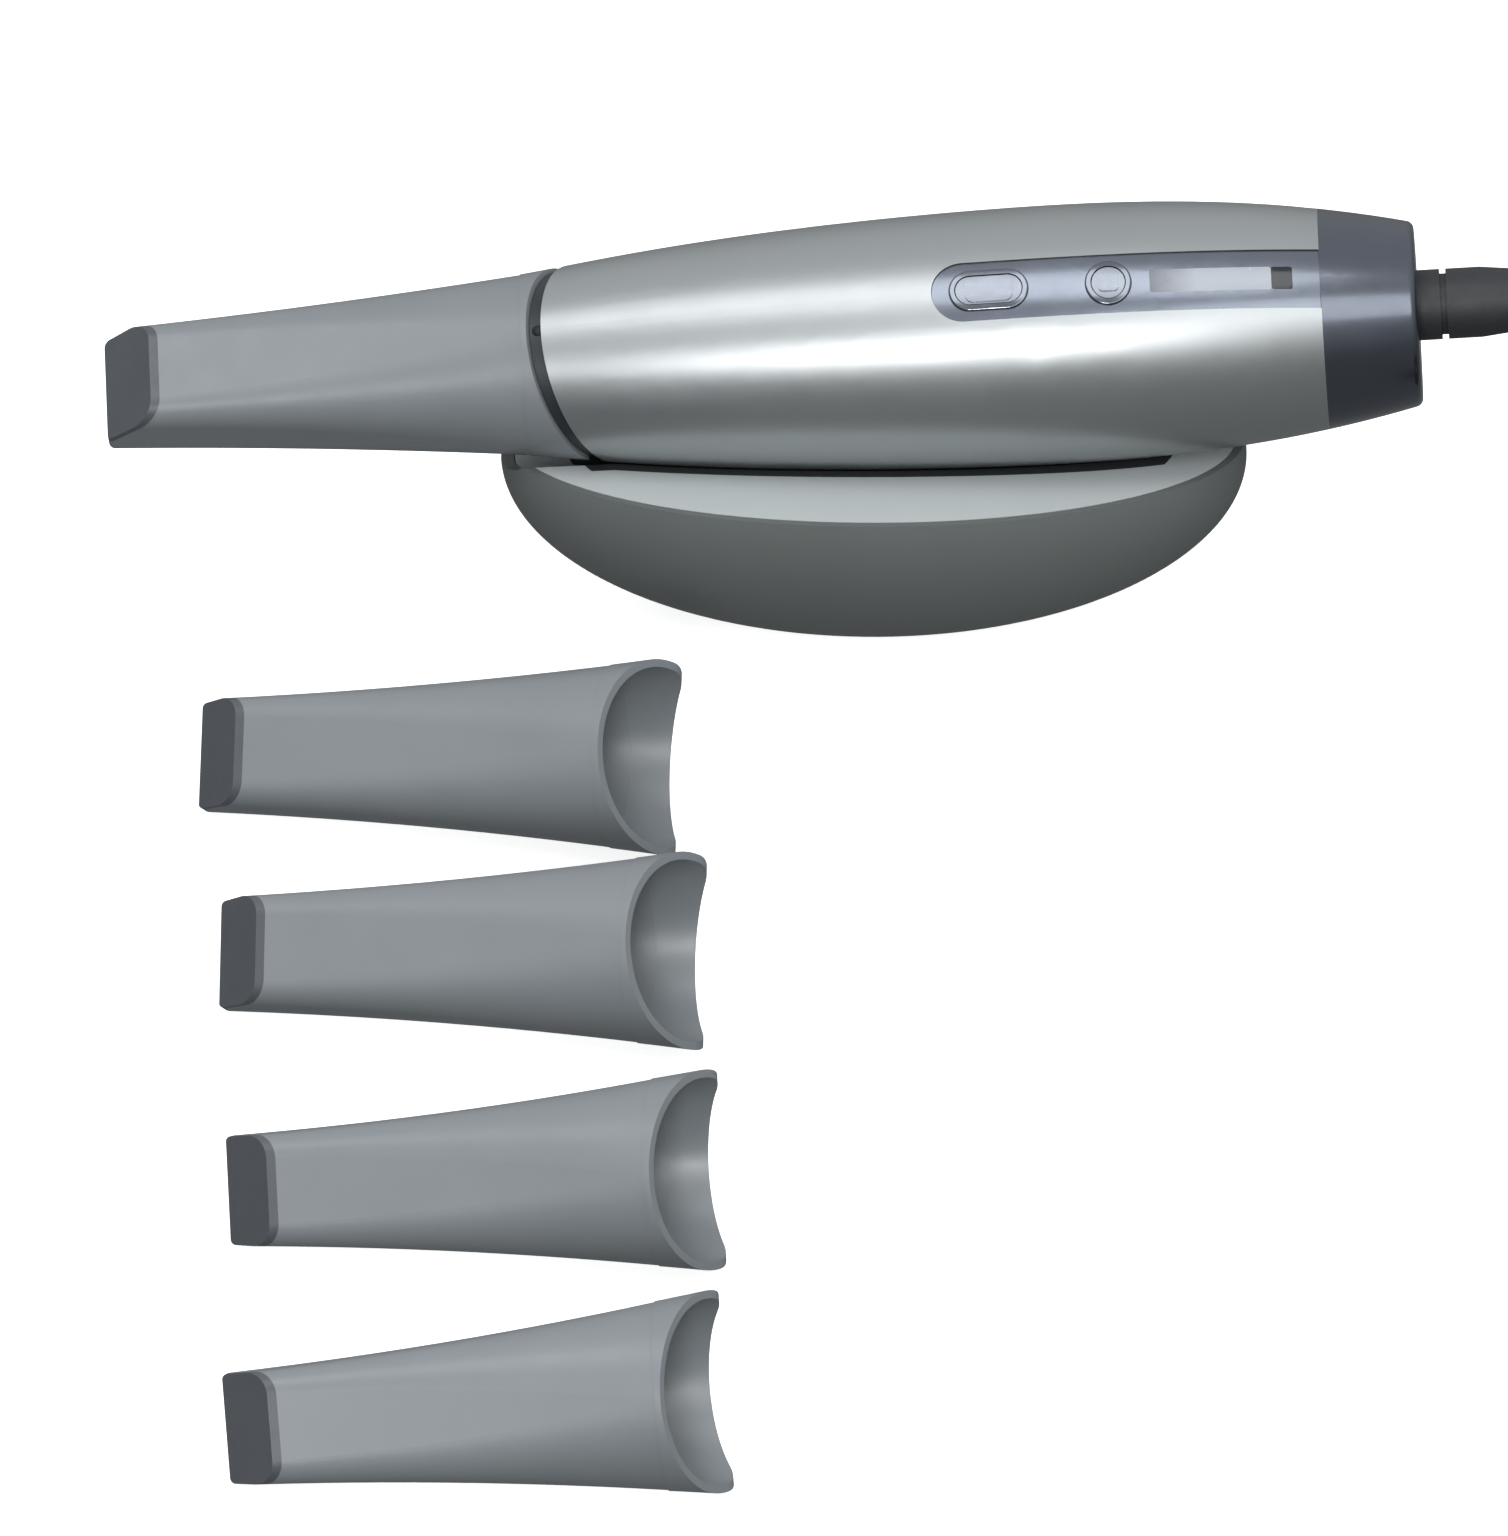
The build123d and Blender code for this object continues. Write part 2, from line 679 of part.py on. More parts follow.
relief_sections = [
    (-cap_end_wall - gland_flange_thickness, gland_flange_radius),
    (-cap_end_wall, gland_flange_radius),
    (-cap_end_wall, gland_radius),
    (0, gland_radius),
    (0, relief_radius),
    (relief_collar_length, relief_radius),
    (relief_collar_length, relief_radius - relief_notch_depth),
    (relief_collar_length + relief_notch_length, relief_radius - relief_notch_depth),
    (relief_collar_length + relief_notch_length, relief_radius),
    (relief_straight_length, relief_radius),
    (relief_straight_length + relief_taper_length, relief_end_radius),
]
relief_length = relief_straight_length + relief_taper_length
cord_radius = cord_diameter / 2
relief_plane = sideways(handset, handset_length, gland_offset)

with BuildPart() as strain_relief:
    with BuildSketch(relief_plane):
        with BuildLine():
            Polyline(
                *relief_sections,
                (relief_length, 0),
                (relief_sections[0][0], 0),
                relief_sections[0],
            )
        make_face()
    revolve(axis=Axis(relief_plane.origin, relief_plane.x_dir))
write(strain_relief.part, "strain_relief")


# ---- cable: free stretch, coil on the table and plug ---------------------------------------------------
cord_start = place(handset, handset_length + relief_length, gland_offset)
cord_route = [
    cord_start,
    cord_start + handset.x_dir * 22,
    Vector(190.0, -5.0, 57.5),
    Vector(198.0, -14.0, 38.5),
    Vector(198.5, -28.0, 25.0),
    Vector(198.0, -48.0, 21.5),
]
corner_radii = []
for before, corner, after in zip(cord_route, cord_route[1:], cord_route[2:]):
    run_in, run_out = corner - before, after - corner
    half_turn = radians(run_in.get_angle(run_out)) / 2
    corner_radii.append(0.45 * min(run_in.length, run_out.length) / tan(half_turn))
print("cord corner radii:", [round(radius, 1) for radius in corner_radii])

with BuildPart() as cord_tube:
    with BuildLine() as cord_path:
        FilletPolyline(*cord_route, radius=corner_radii)
    with BuildSketch(Plane(origin=cord_start, z_dir=handset.x_dir)):
        Circle(cord_radius)
    sweep()
write(cord_tube.part, "cord_tube")
section_area = pi * cord_radius**2
free_length = sum(edge.length for edge in cord_path.edges())
print("cord tube volume over section times length:", cord_tube.part.volume / section_area / free_length)

coil_height = cord_diameter * (coil_turns / coil_columns + 1)
coil_half_width = cord_radius * coil_columns
coil_length = 2 * pi * coil_middle_radius * coil_turns
print("cord length:", round(free_length + coil_length + plug_lead), "coil height:", round(coil_height, 2))

with BuildPart() as cord_coil:
    with BuildSketch(Plane(origin=(coil_x, coil_y, 0))):
        Circle(coil_middle_radius + coil_half_width)
        Circle(coil_middle_radius - coil_half_width, mode=Mode.SUBTRACT)
    extrude(amount=coil_height)
write(cord_coil.part, "cord_coil")

# The plug lies on top of the coil, along its turns, with its back where the cable leaves them.
plug_out = Vector(1, 0, 0).rotate(Axis.Z, plug_angle)
plug_forward = plug_out.rotate(Axis.Z, -90)
plug_back = Vector(coil_x, coil_y, coil_height + plug_height / 2) + plug_out * plug_radius
plug_plane = Plane(origin=plug_back, x_dir=plug_out, z_dir=plug_forward)
tongue_plane = plug_plane.offset(plug_length)

with BuildPart() as plug_grip:
    with BuildSketch(plug_plane):
        RectangleRounded(plug_width, plug_height, plug_corner)
    extrude(amount=plug_length)
    fillet(plug_grip.faces().sort_by(Axis(plug_back, plug_forward))[-1].edges(), plug_corner / 2)
write(plug_grip.part, "plug_grip")

with BuildPart() as plug_tongue:
    with BuildSketch(tongue_plane):
        Rectangle(plug_tongue_width, plug_tongue_height)
        Rectangle(plug_tongue_width - 2 * plug_tongue_wall, plug_tongue_height - 2 * plug_tongue_wall,
                  mode=Mode.SUBTRACT)
    extrude(amount=plug_tongue_length)
write(plug_tongue.part, "plug_tongue")

with BuildPart() as plug_insert:
    with BuildSketch(tongue_plane):
        with Locations((0, plug_tongue_height / 2 - plug_tongue_wall)):
            Rectangle(
                plug_tongue_width - 2 * plug_tongue_wall,
                plug_insert_height,
                align=(Align.CENTER, Align.MAX),
            )
    extrude(amount=plug_tongue_length - plug_tongue_wall)
write(plug_insert.part, "plug_insert")


# ---- cradle -------------------------------------------------------------------------------------------
def hull(shrink):
    """Round boat-shaped body, as long as the cradle and shrunk by a wall."""
    with BuildPart() as body:
        with BuildSketch(Plane(origin=(0, 0, cradle_equator_height), x_dir=(1, 0, 0), z_dir=(0, -1, 0))):
            Ellipse(cradle_half_length - shrink, cradle_half_width - shrink)
            Rectangle(2 * cradle_half_length, cradle_half_width, align=(Align.CENTER, Align.MIN),
                      mode=Mode.SUBTRACT)
        revolve(axis=Axis((0, 0, cradle_equator_height), (1, 0, 0)))
    return body.part


def slab(bottom, top, half_length=2 * cradle_half_length, half_width=2 * cradle_half_width):
    """Level oval slab between two heights."""
    with BuildPart() as body:
        with BuildSketch(Plane.XY.offset(bottom)):
            Ellipse(half_length, half_width)
        extrude(amount=top - bottom)
    return body.part


def trough_body(growth):
    """What the handset needs to lie in and to lift out of, with room for the tip to slide off in front."""
    tip_path_radius = tip_root_radius + growth
    with BuildPart() as body:
        add(round_body(growth))
        with BuildSketch(across(handset, 0)):
            Circle(tip_path_radius)
        extrude(amount=tip_length)
    return body.part


def placed_posts(bottom, top, radius):
    """Two upright round posts or holes, between two heights."""
    with BuildPart() as posts:
        with BuildSketch(Plane.XY.offset(bottom)):
            with GridLocations(post_spacing, 0, 2, 1):
                Circle(radius)
        extrude(amount=top - bottom)
    return posts.part


shell_floor = foot_thickness + cradle_wall
rim_rise = (cradle_rim_height - cradle_equator_height) / cradle_half_width
rim_share = sqrt(1 - rim_rise**2)
plate_half_length = cradle_half_length * rim_share - cradle_rim_inset
plate_half_width = cradle_half_width * rim_share - cradle_rim_inset
plate_bottom = cradle_rim_height - cradle_top_thickness
weight_top = shell_floor + weight_thickness
screw_head_top = foot_thickness + cradle_screw_head_height
screw_top = screw_head_top + cradle_screw_length
seat_growth = trough_play + seat_pad_thickness
trough = trough_body(trough_play)
inside = hull(cradle_wall)

with BuildPart() as shell_inside:
    add(inside)
    add(slab(shell_floor, cradle_rim_height), mode=Mode.INTERSECT)

with BuildPart() as cradle_shell:
    add(hull(0))
    add(slab(foot_stand, cradle_rim_height), mode=Mode.INTERSECT)
    add(shell_inside.part, mode=Mode.SUBTRACT)
    add(
        slab(plate_bottom, cradle_rim_height, plate_half_length + cradle_play, plate_half_width + cradle_play),
        mode=Mode.SUBTRACT,
    )
    add(
        slab(0, foot_thickness, foot_half_length + cradle_play, foot_half_width + cradle_play),
        mode=Mode.SUBTRACT,
    )
    add(trough, mode=Mode.SUBTRACT)
    for start, end, radius in (
        (foot_thickness, screw_head_top, cradle_screw_head_radius),
        (screw_head_top, shell_floor, cradle_screw_radius),
    ):
        add(placed_posts(start, end, radius + cradle_play), mode=Mode.SUBTRACT)
write(cradle_shell.part, "cradle_shell")

with BuildPart() as seat_pad:
    add(trough_body(seat_growth))
    add(trough, mode=Mode.SUBTRACT)
    add(slab(shell_floor, cradle_rim_height, seat_pad_half_length, cradle_half_width), mode=Mode.INTERSECT)
write(seat_pad.part, "seat_pad")

with BuildPart() as trough_rib:
    add(trough_body(seat_growth + cradle_wall))
    add(slab(weight_top, plate_bottom, plate_half_length, plate_half_width), mode=Mode.INTERSECT)
    add(hull(cradle_wall + cradle_play), mode=Mode.INTERSECT)

with BuildPart() as cradle_top:
    add(slab(plate_bottom, cradle_rim_height, plate_half_length, plate_half_width))
    add(trough_rib.part)
    add(placed_posts(shell_floor, plate_bottom, post_radius))
    add(trough, mode=Mode.SUBTRACT)
    add(seat_pad.part, mode=Mode.SUBTRACT)
    add(placed_posts(shell_floor, screw_top, cradle_screw_radius), mode=Mode.SUBTRACT)
write(cradle_top.part, "cradle_top")

with BuildPart() as cradle_weight:
    add(slab(shell_floor, weight_top, weight_half_length, weight_half_width))
    add(placed_posts(shell_floor, weight_top, post_radius + cradle_play), mode=Mode.SUBTRACT)
write(cradle_weight.part, "cradle_weight")

write(slab(0, foot_thickness, foot_half_length, foot_half_width), "foot_pad")

with BuildPart() as cradle_screws:
    add(placed_posts(foot_thickness, screw_head_top, cradle_screw_head_radius))
    add(placed_posts(screw_head_top, screw_top, cradle_screw_radius))
write(cradle_screws.part, "cradle_screws")
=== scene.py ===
"""Looks of the intraoral scanner: handset with its tip in a desk cradle, four spare tips, and the cable.

Metres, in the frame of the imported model: +Z is up, +X runs along the cradle to the cable end, and the
buttons face -Y. New pieces are surfaces computed with numpy; the other CAD nodes keep their shape.
"""

import json
from math import cos, pi, radians, sin

import bpy
import numpy as np
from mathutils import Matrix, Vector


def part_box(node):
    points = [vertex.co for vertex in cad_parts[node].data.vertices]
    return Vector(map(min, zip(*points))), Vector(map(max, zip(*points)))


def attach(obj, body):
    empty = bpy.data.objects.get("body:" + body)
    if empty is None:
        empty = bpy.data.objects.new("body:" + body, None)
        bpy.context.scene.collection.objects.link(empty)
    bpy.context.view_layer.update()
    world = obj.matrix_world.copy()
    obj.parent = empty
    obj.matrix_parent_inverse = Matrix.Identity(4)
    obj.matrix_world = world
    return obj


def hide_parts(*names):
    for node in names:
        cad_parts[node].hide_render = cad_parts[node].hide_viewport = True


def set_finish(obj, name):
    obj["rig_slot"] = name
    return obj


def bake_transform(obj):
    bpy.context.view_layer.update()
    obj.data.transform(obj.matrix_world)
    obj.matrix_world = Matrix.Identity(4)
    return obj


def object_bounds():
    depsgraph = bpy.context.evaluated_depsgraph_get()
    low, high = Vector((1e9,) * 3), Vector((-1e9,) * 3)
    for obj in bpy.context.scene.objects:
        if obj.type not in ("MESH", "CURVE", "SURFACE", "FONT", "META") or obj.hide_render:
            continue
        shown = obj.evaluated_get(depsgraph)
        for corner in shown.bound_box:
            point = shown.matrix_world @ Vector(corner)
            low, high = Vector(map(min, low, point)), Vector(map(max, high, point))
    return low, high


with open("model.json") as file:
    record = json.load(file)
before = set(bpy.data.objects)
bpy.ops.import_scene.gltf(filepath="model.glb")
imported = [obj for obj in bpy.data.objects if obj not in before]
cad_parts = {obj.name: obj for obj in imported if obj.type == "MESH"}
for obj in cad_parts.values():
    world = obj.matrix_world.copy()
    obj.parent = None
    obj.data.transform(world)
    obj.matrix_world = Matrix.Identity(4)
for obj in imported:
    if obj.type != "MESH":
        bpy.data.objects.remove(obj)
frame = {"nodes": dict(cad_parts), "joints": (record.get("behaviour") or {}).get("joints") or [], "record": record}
cad_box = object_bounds()
millimetre = 0.001


# ---- directions and places shared by the pieces ---------------------------------------------------------
joint_axis = {joint["name"]: np.array(joint["axis"]) for joint in frame["joints"]}
rearward = -joint_axis["tip_pull"]  # along the handset, to the cable
button_side = -joint_axis["scan_press"]
near_side = np.cross(rearward, button_side)
cord_exit = np.array((142.057, -2.490, 67.577)) * millimetre
exit_station, exit_height = 289.0 * millimetre, 4.0 * millimetre  # where the cable leaves the handset
handset_front = cord_exit - exit_station * rearward - exit_height * button_side


def on_handset(station, side, height):
    """Points at distances in mm from the handset's front end: along it, to its near side, to its buttons."""
    return handset_front + millimetre * (
        np.multiply.outer(station, rearward) + np.multiply.outer(side, near_side)
        + np.multiply.outer(height, button_side)
    )


# ---- camera ---------------------------------------------------------------------------------------------
view_height = radians(30)
view_distance = 6.0
frame_height = 0.2918  # height of the picture at the handset
sensor_height = 36.0
looked_at = np.array((-0.0228, -0.0402, -0.0146))

lens = bpy.data.cameras.new("camera")
lens.sensor_fit = "VERTICAL"
lens.sensor_height = sensor_height
lens.lens = sensor_height * view_distance / frame_height
lens.clip_end = 20  # metres, past the far edge of the floor
camera = bpy.data.objects.new("camera", lens)
camera.location = looked_at + view_distance * np.array((0, -cos(view_height), sin(view_height)))
camera.rotation_euler = (pi / 2 - view_height, 0, 0)
bpy.context.scene.collection.objects.link(camera)
bpy.context.scene.camera = camera
bpy.context.scene.view_settings.view_transform = "Standard"  # keeps the background white


# ---- making a mesh from a grid of points ----------------------------------------------------------------
def grid_faces(rows, columns, closed=False):
    """Corner numbers of the four-sided faces between neighbouring points of a grid counted row by row. When
    it is closed, the last column joins the first."""
    row = np.arange(rows - 1)[:, None] * columns
    column = np.arange(columns if closed else columns - 1)[None, :]
    beside = (column + 1) % columns
    below = row + columns
    return np.stack((row + column, row + beside, below + beside, below + column), axis=-1).reshape(-1, 4)


def piece_from(name, points, faces, body, slot):
    """A smooth mesh object that rides on a body, if one is given, and takes its finish from a slot."""
    mesh = bpy.data.meshes.new(name)
    mesh.from_pydata(points.reshape(-1, 3).tolist(), [], [list(face) for face in faces])
    mesh.polygons.foreach_set("use_smooth", np.ones(len(mesh.polygons), bool))
    mesh.update()
    made = bpy.data.objects.new(name, mesh)
    bpy.context.scene.collection.objects.link(made)
    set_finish(made, slot)
    if body:
        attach(made, body)
    return made


# ---- cable ----------------------------------------------------------------------------------------------
cord_diameter = 5.0 * millimetre
coil_centre = np.array((163.0, -48.0)) * millimetre
coil_radii = np.array((35.0, 30.0, 25.0, 20.0)) * millimetre  # one column of turns inside the other
coil_turns_per_column = 2.75
coil_low, coil_high = 2.5 * millimetre, 16.25 * millimetre
points_per_turn = 16
crossing_share = 0.125  # part of a turn in which the cable moves from one column to the next
straight_run = 0.022  # the cable leaves the handset straight for this far

cord_route = [
    cord_exit,
    cord_exit + straight_run * rearward,
    np.array((190.0, -5.0, 57.5)) * millimetre,
    np.array((198.0, -14.0, 38.5)) * millimetre,
    np.array((198.5, -28.0, 25.0)) * millimetre,
    np.array((198.0, -48.0, 21.5)) * millimetre,
]


def coil_points():
    """Turns of the coil, clockwise from above: each column climbs or drops evenly, and between columns the
    radius changes evenly over an eighth of a turn at one height."""
    columns = len(coil_radii)
    turn = np.arange(1.5 / points_per_turn, columns * coil_turns_per_column, 1 / points_per_turn)
    column = np.minimum((turn / coil_turns_per_column).astype(int), columns - 1)
    within = turn - column * coil_turns_per_column
    crossing = np.minimum(within / crossing_share, 1.0)
    before = coil_radii[np.maximum(column - 1, 0)]
    radius = before + (coil_radii[column] - before) * crossing
    climb = np.clip((within - crossing_share) / (coil_turns_per_column - crossing_share), 0.0, 1.0)
    rise = (coil_high - coil_low) * climb
    height = np.where(column % 2 == 1, coil_low + rise, coil_high - rise)
    angle = -2 * pi * turn
    return np.stack(
        (coil_centre[0] + radius * np.cos(angle), coil_centre[1] + radius * np.sin(angle), height), axis=-1
    )


def over_coil(radius, angle, height):
    """The point at a radius and an angle round the coil's middle, at a height."""
    return np.array((coil_centre[0] + radius * cos(angle), coil_centre[1] + radius * sin(angle), height))


# the plug lies on the coil, square to its radius, and the last of the cable climbs to it
plug_radius, plug_angle, plug_height = 26.0 * millimetre, radians(-60), 22.75 * millimetre
climb_radius, climb_angle, climb_height = 21.5 * millimetre, radians(-22), 19.5 * millimetre
plug_run = 8.0 * millimetre  # the cable is straight this far behind the plug
plug_back = over_coil(plug_radius, plug_angle, plug_height)
plug_forward = np.array((sin(plug_angle), -cos(plug_angle), 0.0))
lead_up = [
    over_coil(climb_radius, climb_angle, climb_height),
    plug_back - plug_run * plug_forward,
    plug_back,
]

# the control points are smoothed by a curve object, whose points are read back as the cable's path
line = bpy.data.curves.new("cord_line", "CURVE")
line.dimensions = "3D"
control_points = np.vstack((cord_route, coil_points(), lead_up))
spline = line.splines.new("NURBS")
spline.points.add(len(control_points) - 1)
spline.points.foreach_set("co", np.column_stack((control_points, np.ones(len(control_points)))).ravel())
spline.order_u = 3
spline.use_endpoint_u = True
spline.resolution_u = 8
line_object = bpy.data.objects.new("cord_line", line)
bpy.context.scene.collection.objects.link(line_object)
line_mesh = bpy.data.meshes.new_from_object(line_object)
cord_path = np.zeros(3 * len(line_mesh.vertices))
line_mesh.vertices.foreach_get("co", cord_path)
cord_path = cord_path.reshape(-1, 3)
bpy.data.objects.remove(line_object)


def tube_along(path, radius, sides):
    """Round tube on a path: at each point a ring square to the path's direction there, whose first spoke is
    carried on from ring to ring by taking away its part along the direction."""
    direction = np.gradient(path, axis=0)
    direction /= np.linalg.norm(direction, axis=1)[:, None]
    spokes = np.zeros_like(path)
    spoke = np.cross(direction[0], (0.0, 0.0, 1.0))
    for ring, forward in enumerate(direction):
        spoke = spoke - forward * (spoke @ forward)
        spoke = spoke / np.linalg.norm(spoke)
        spokes[ring] = spoke
    third = np.cross(direction, spokes)
    angle = np.linspace(0, 2 * pi, sides + 1)[:-1]
    return path[:, None, :] + radius * (
        np.cos(angle)[None, :, None] * spokes[:, None, :] + np.sin(angle)[None, :, None] * third[:, None, :]
    )


cord_points = tube_along(cord_path, cord_diameter / 2, sides=20)
rings, sides = cord_points.shape[:2]
end_faces = [range(sides)[::-1], range((rings - 1) * sides, rings * sides)]
cord_faces = [*grid_faces(rings, sides, closed=True), *end_faces]
cord = piece_from("cord", cord_points, cord_faces, None, "cable_black")
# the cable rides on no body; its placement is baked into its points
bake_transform(cord)
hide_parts("cord_tube", "cord_coil")


# ---- small pieces on the handset ------------------------------------------------------------------------
def node_points(name):
    """A CAD node's points as stations, distances to the near side and heights to the buttons, in mm."""
    mesh = frame["nodes"][name].data
    points = np.zeros(3 * len(mesh.vertices))
    mesh.vertices.foreach_get("co", points)
    away = (points.reshape(-1, 3) - handset_front) / millimetre
    return away @ rearward, away @ near_side, away @ button_side


def crest_height(station):
    """Height of the casing's crest: a fourth-degree curve through the outer points of its parting edge."""
    lowest_crest, edge_reach = 18.5, 0.02
    along, side, height = node_points("casing_near_half")
    edge = (np.abs(side) < edge_reach) & (height > lowest_crest)
    return np.polyval(np.polyfit(along[edge], height[edge], 4), station)


def parting_line():
    """Hairline between the casing's halves in front of the buttons: a ribbon on the crest, arched across by
    a cosine, whose width grows from nothing over its first half."""
    length, clearance, width, sunk, arch = 30.0, 0.1, 0.22, 0.02, 0.04
    rows, columns = 60, 5
    panel_front = node_points("control_panel")[0].min()
    station = np.linspace(panel_front - length, panel_front - clearance, rows)
    half_width = width / 2 * np.minimum(1.0, np.linspace(0.05, 2.0, rows))
    across = np.linspace(-1.0, 1.0, columns)
    side = half_width[:, None] * across[None, :]
    height = crest_height(station)[:, None] - sunk + arch * np.cos(across * pi / 2)[None, :]
    points = on_handset(np.broadcast_to(station[:, None], side.shape), side, height)
    return piece_from("parting_line", points, grid_faces(rows, columns), "handset", "seam_black")


def latch_ball():
    """Ball that the tip snaps behind, standing in the black band: the upper half of a sphere sunk into the
    band, as a pole and rings at equal angles from it."""
    radius, sunk, from_front = 1.25, 0.75, 1.6
    rings, columns = 11, 32
    along, side, height = node_points("nose_collar")
    near_crest = np.abs(side) < 2.0
    middle = along[near_crest & (height > 15.5)].min() + from_front
    seat = height[near_crest & (np.abs(along - middle) < 1.5)].max() - sunk
    tilt = np.linspace(0.0, pi / 2, rings + 1)[1:, None]
    turn = np.linspace(0.0, 2 * pi, columns + 1)[None, :-1]
    station = middle + radius * np.sin(tilt) * np.cos(turn)
    ring_points = on_handset(
        station, radius * np.sin(tilt) * np.sin(turn),
        np.broadcast_to(seat + radius * np.cos(tilt), station.shape),
    )
    pole = on_handset(middle, 0.0, seat + radius)
    points = np.vstack((pole, ring_points.reshape(-1, 3)))
    column = np.arange(columns)
    fan = np.stack((np.zeros(columns, int), 1 + (column + 1) % columns, 1 + column), axis=-1)
    faces = [*fan, *(1 + grid_faces(rings, columns, closed=True))]
    return piece_from("latch_ball", points, faces, "handset", "ring_rubber")


details = [parting_line(), latch_ball()]


# ---- finishes -------------------------------------------------------------------------------------------
def linear(code):
    """An sRGB hex colour as linear red, green, blue and full cover."""
    share = np.array([int(code[i:i + 2], 16) for i in (1, 3, 5)]) / 255
    bright = np.where(share <= 0.04045, share / 12.92, ((share + 0.055) / 1.055) ** 2.4)
    return (*bright.tolist(), 1.0)


def add_node(tree, kind, settings, links):
    """Adds a node, sets its properties, and sets each named input to a value or links it from an output."""
    made = tree.nodes.new(kind)
    for name, value in settings.items():
        setattr(made, name, value)
    for name, value in links.items():
        if isinstance(value, bpy.types.NodeSocket):
            tree.links.new(value, made.inputs[name])
        else:
            made.inputs[name].default_value = value
    return made


def finish_of(
    name, colour, second, roughness, metallic=0.0, ior=1.5, mottle=18.0, spread=0.06, grain=0.6,
    relief=0.01, stretch=(1, 1, 1), sockets=(),
):
    """A finish whose colour drifts between two colours over patches of mottle mm, whose roughness drifts by
    spread over smears a third as large, and whose surface has grains of grain mm that stand relief mm high.
    stretch draws grain and smears out along an axis."""
    made = bpy.data.materials.new(name)
    made.use_nodes = True
    tree = made.node_tree
    shader = tree.nodes["Principled BSDF"]
    for socket, value in dict(sockets).items():
        shader.inputs[socket].default_value = value
    shader.inputs["Metallic"].default_value = metallic
    if not metallic:
        shader.inputs["IOR"].default_value = ior
    place = add_node(tree, "ShaderNodeTexCoord", {}, {}).outputs["Object"]
    drawn = add_node(tree, "ShaderNodeMapping", {}, {"Vector": place, "Scale": stretch}).outputs["Vector"]
    patches = add_node(
        tree, "ShaderNodeTexNoise", {},
        {"Vector": place, "Scale": 1 / (mottle * millimetre), "Detail": 3.0, "Roughness": 0.6},
    )
    # inputs 0, 6 and 7 and output 2 are the share and the colours; numbers and directions share their names
    tint = add_node(
        tree, "ShaderNodeMix", {"data_type": "RGBA"},
        {0: patches.outputs["Fac"], 6: linear(colour), 7: linear(second)},
    )
    tree.links.new(tint.outputs[2], shader.inputs["Base Color"])
    smears = add_node(
        tree, "ShaderNodeTexNoise", {},
        {"Vector": drawn, "Scale": 3 / (mottle * millimetre), "Detail": 4.0, "Roughness": 0.65},
    )
    rough = add_node(
        tree, "ShaderNodeMapRange", {},
        {"Value": smears.outputs["Fac"], "From Min": 0.3, "From Max": 0.7,
         "To Min": roughness - spread, "To Max": roughness + spread},
    )
    tree.links.new(rough.outputs["Result"], shader.inputs["Roughness"])
    grains = add_node(
        tree, "ShaderNodeTexNoise", {},
        {"Vector": drawn, "Scale": 1 / (grain * millimetre), "Detail": 2.0, "Roughness": 0.5},
    )
    bump = add_node(
        tree, "ShaderNodeBump", {},
        {"Height": grains.outputs["Fac"], "Strength": 1.0, "Distance": relief * millimetre},
    )
    tree.links.new(bump.outputs["Normal"], shader.inputs["Normal"])
    return made


along_handset = (0.08, 1.0, 1.0)  # tool marks run along the handset
panel_colour = "#6F7580"

